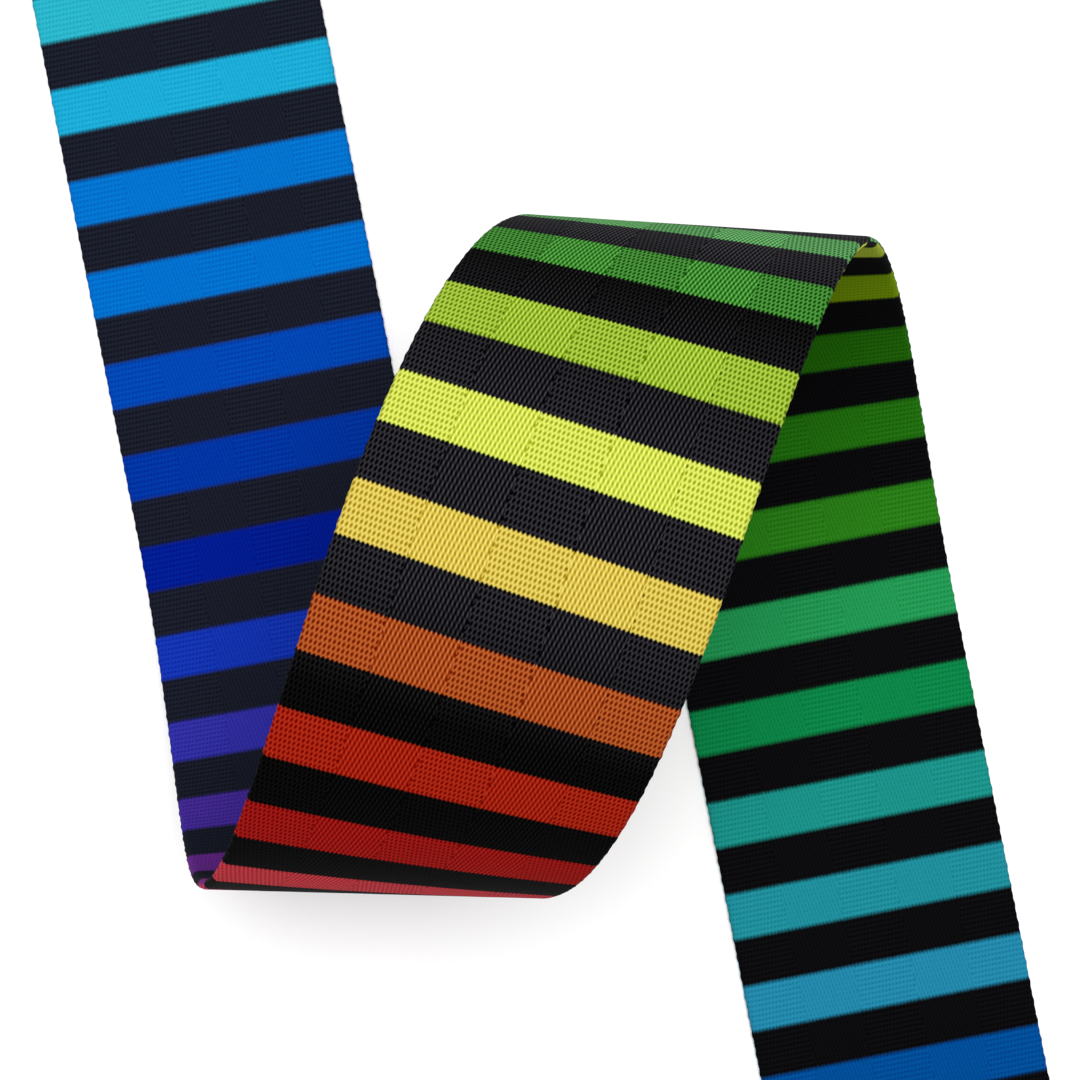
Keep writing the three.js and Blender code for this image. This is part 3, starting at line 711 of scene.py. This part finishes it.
def socket_detail(points, normals):
    """A parting line round the sides, a sunk panel, and ridges beside the mouth."""
    sides = np.abs(points[:, 1]) > 29
    move = along_normals(normals, parting_line(points, normals, SOCKET_MIDDLE) * sides)
    outer = np.abs(points[:, 2] - SOCKET_MIDDLE) > 6.5
    ridges = np.cos(2 * math.pi * points[:, 0] / RIDGE_PITCH) * plateau(points[:, 0], 51.5, 55.5, 0.6)
    ridges = ridges * plateau(np.abs(points[:, 1]), 0, 18, 2)
    panel = recess(points, normals, centre=24, half_length=10.5, half_width=19, depth=0.55)
    move[:, 2] = (panel + 0.22 * ridges * normals[:, 2]) * outer
    return move


def plug_detail(points, normals):
    """A parting line round the sides, a sunk panel, and a groove along the tongue."""
    sides = np.abs(points[:, 1]) > 26
    move = along_normals(normals, parting_line(points, normals, PLUG_MIDDLE) * sides)
    outer = np.abs(points[:, 2] - PLUG_MIDDLE) > 5
    panel = recess(points, normals, centre=17.5, half_length=6, half_width=16, depth=0.45)
    move[:, 2] = panel * outer
    tongue = (points[:, 0] > PLUG_SHOULDER + 3) & (np.abs(points[:, 1]) < 8)
    groove = recess(points, normals, centre=45, half_length=11, half_width=3.2, depth=0.5)
    move[:, 2] += groove * tongue
    return move


def arm_detail(points, normals):
    """Finger grips cut across the outer face of the latch."""
    outward = np.sign(points[:, 1])
    grips = plateau(points[:, 0], ARM_TIP - 9.5, ARM_TIP - 1.5, 0.6)
    outer = ease((normals[:, 1] * outward - 0.3) / 0.3) * (np.abs(points[:, 1]) > ARM_ROOT + 4)
    cut = -0.28 * (0.5 - 0.5 * np.cos(2 * math.pi * points[:, 0] / GRIP_PITCH)) * grips * outer
    return along_normals(normals, cut)


def adjuster_detail(points, normals):
    """Shallow teeth across the middle bar, which keep the webbing from slipping."""
    bar = plateau(points[:, 0], -CENTRE_BAR / 2, CENTRE_BAR / 2, 0.4)
    bar = bar * plateau(np.abs(points[:, 1]), 0, 25, 0.6)
    facing = ease((np.abs(normals[:, 2]) - 0.6) / 0.3)
    teeth = 0.2 * np.cos(2 * math.pi * points[:, 1] / TOOTH_PITCH) * bar * facing
    return np.stack([0 * teeth, 0 * teeth, -teeth * np.sign(normals[:, 2])], axis=1)


def plastic_material():
    shader = Shader("black_acetal")
    place = shader.node("TexCoord", output=3)
    cloudy = shader.node("TexNoise", {"Vector": place, "Scale": 60, "Detail": 4, "Roughness": 0.6})
    grain = shader.node("TexNoise", {"Vector": place, "Scale": 2600, "Detail": 2})
    scuff_place = shader.node("Mapping", {"Vector": place, "Scale": (900, 90, 400), "Rotation": (0, 0, 0.6)})
    scuffs = shader.node("TexNoise", {"Vector": scuff_place, "Scale": 1, "Detail": 3})
    scuffed = shader.smooth_step(scuffs, 0.62, 0.74)
    colour = shader.ramp(cloudy, [(0.3, linear("0b0b0c")), (0.7, linear("131315"))])
    worn = shader.mix(shader.math("MULTIPLY", scuffed, 0.2), colour, linear("242427"))
    shader.link(worn, shader.surface.inputs["Base Color"])
    bump = shader.node("Bump", {"Strength": 0.35, "Distance": 0.03 * MM, "Height": grain})
    shader.link(bump, shader.surface.inputs["Normal"])
    roughness = shader.math("MULTIPLY_ADD", cloudy, 0.22, shader.math("MULTIPLY_ADD", scuffed, 0.12, 0.3))
    return shader.finish(roughness, Specular_IOR_Level=0.45)


THREAD_LAY = 0.7


def thread_material():
    shader = Shader("polyester_thread")
    thread = shader.node("Attribute", attribute_name="thread", output=1)
    axes = shader.tree.nodes.new("ShaderNodeSeparateXYZ")
    shader.link(thread, axes.inputs[0])
    lays = shader.math("DIVIDE", axes.outputs[0], THREAD_LAY * MM)
    twist = shader.math("ADD", axes.outputs[1], lays)
    plies = shader.wave(twist, 0.5)
    fuzz = shader.node("TexNoise", {"Scale": 4000, "Detail": 2})
    shade = shader.math("MULTIPLY_ADD", plies, 0.3, fuzz, clamp=True)
    colour = shader.ramp(shade, [(0.2, linear("060607")), (0.9, linear("202024"))])
    shader.link(colour, shader.surface.inputs["Base Color"])
    bump = shader.node("Bump", {"Strength": 0.6, "Distance": 0.08 * MM, "Height": plies})
    shader.link(bump, shader.surface.inputs["Normal"])
    return shader.finish(0.5, Specular_IOR_Level=0.35, Sheen_Weight=0.1)


PLASTIC = plastic_material()
THREAD = thread_material()


def build_hardware():
    socket_end = Place(np.zeros(3), -FORWARD, SOCKET_BAR_AT)
    plug_end = Place(LANDING, FORWARD, PLUG_BAR_AT)
    middle = Place(LANDING, FORWARD, ADJUSTER_AT)
    moulded_copy("buckle_socket", "moulded_buckle_socket", socket_end, socket_detail, "socket")
    moulded_copy("buckle_plug", "moulded_buckle_plug", plug_end, plug_detail, "plug")
    moulded_copy("latch_arm_left", "moulded_latch_arm_left", plug_end, arm_detail, "arm_left")
    moulded_copy("latch_arm_right", "moulded_latch_arm_right", plug_end, arm_detail, "arm_right")
    moulded_copy("three_bar_adjuster", "moulded_three_bar_adjuster", middle, adjuster_detail, "adjuster")


# ---------------------------------------------------------------- stitching
THREAD_RADIUS = 0.3
STITCH_PITCH = 3.0
SEAM_INSET = 4


def seam_lines(start, end):
    """The sewn box and its cross, as pairs of (along, across) corners."""
    a = WIDTH / 2 - SEAM_INSET
    corners = [(start, -a), (end, -a), (end, a), (start, a)]
    box = list(zip(corners, corners[1:] + corners[:1]))
    return box + [(corners[0], corners[2]), (corners[1], corners[3])]


def stitches(node, place, start, end, height, side, body):
    """Rows of single stitches, bowed out of the webbing on one side and pulled into it at their ends."""
    bend = np.linspace(0, 1, 9)
    around = np.radians(np.linspace(0, 360, 10, endpoint=False))
    vertices = []
    faces = []
    thread = []
    for first, last in seam_lines(start, end):
        first, last = np.array(first, float), np.array(last, float)
        length = np.linalg.norm(last - first)
        count = round(length / STITCH_PITCH)
        step = (last - first) / count
        run = step / np.linalg.norm(step)
        pitch = length / count
        for i in range(count):
            base = len(vertices)
            for j, t in enumerate(bend):
                centre = first + step * (i + 0.06 + 0.88 * t)
                swell = math.sin(math.pi * t)
                up = height + side * (0.34 * swell ** 0.6 - 0.3)
                radius = THREAD_RADIUS * (0.45 + 0.55 * swell ** 0.5)
                for turn in around:
                    across = radius * math.cos(turn)
                    lift = radius * math.sin(turn) * 0.8
                    vertices.append((centre[0] - run[1] * across, centre[1] + run[0] * across, up + lift))
                    thread.append((t * pitch * MM, turn / (2 * math.pi), 0))
            ring = len(around)
            for j in range(len(bend) - 1):
                a = base + j * ring
                for k in range(ring):
                    n = (k + 1) % ring
                    faces.append((a + k, a + n, a + ring + n, a + ring + k))
            faces.append(tuple(base + k for k in reversed(range(ring))))
            last_ring = base + (len(bend) - 1) * ring
            faces.append(tuple(last_ring + k for k in range(ring)))
    piece = new_object(node.replace("_thread", "_stitches"), place.scene(np.array(vertices)), faces)
    attribute = piece.data.attributes.new("thread", "FLOAT_VECTOR", "POINT")
    attribute.data.foreach_set("vector", np.array(thread, np.float32).ravel())
    piece.data.materials.append(THREAD)
    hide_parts(node)
    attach(piece, body)


def build_stitching():
    socket_end = Place(np.zeros(3), -FORWARD, 0)
    plug_end = Place(LANDING, FORWARD, 0)
    near, far = SEWN_START + 4, SEWN_END - 3
    stitches("socket_seam_needle_thread", socket_end, near, far, SEWN_LIFT + PLY + THICKNESS, 1, "strap")
    stitches("socket_seam_bobbin_thread", socket_end, near, far, SEWN_LIFT, -1, "strap")
    near, far = SEAM_FROM + 3, SEAM_TO - 3
    stitches("adjuster_seam_needle_thread", plug_end, near, far, OVER_TOP + HALF, 1, "adjuster")
    stitches("adjuster_seam_bobbin_thread", plug_end, near, far, OVER_TAIL - HALF, -1, "adjuster")


# ---------------------------------------------------------------- stage, light and camera
FLOOR_HALF_SIZE = 15000
FLOOR_DROP = 0.2
CAMERA_LENS = 67.64
CAMERA_PLACE = (0.04555, -0.00005, 0.3594)


def build_stage():
    size = FLOOR_HALF_SIZE
    corners = [[-size, -size, 0], [size, -size, 0], [size, size, 0], [-size, size, 0]]
    floor = new_object("floor", corners, [(0, 1, 2, 3)], smooth=False)
    floor.location.z = -FLOOR_DROP * MM
    floor.data.materials.append(floor_material())


def soft_light(name, source, spread, strength):
    """A far, wide light that shines from the source direction and has no hard shadow edge."""
    light = bpy.data.lights.new(name, "SUN")
    light.angle = math.radians(spread)
    light.energy = strength
    lamp = bpy.data.objects.new(name, light)
    bpy.context.scene.collection.objects.link(lamp)
    tilt = math.atan2(math.hypot(source[0], source[1]), source[2])
    lamp.rotation_euler = (tilt, 0, math.atan2(source[0], -source[1]))
    lamp.location = source


def build_light():
    scene = bpy.context.scene
    world = bpy.data.worlds.new("studio")
    world.use_nodes = True
    background = world.node_tree.nodes["Background"]
    background.inputs["Color"].default_value = (1, 1, 1, 1)
    background.inputs["Strength"].default_value = 0.4
    scene.world = world
    scene.view_settings.view_transform = "Standard"
    soft_light("overhead_softbox", source=(0.05, 0.25, 1.6), spread=41, strength=3.1)


def build_camera():
    camera = bpy.data.cameras.new("camera")
    camera.sensor_width = 36
    camera.lens = CAMERA_LENS
    camera.clip_start = 0.01
    view = bpy.data.objects.new("camera", camera)
    view.location = CAMERA_PLACE
    bpy.context.scene.collection.objects.link(view)
    bpy.context.scene.camera = view


build_webbing()
build_hardware()
build_stitching()
build_stage()
build_light()
build_camera()
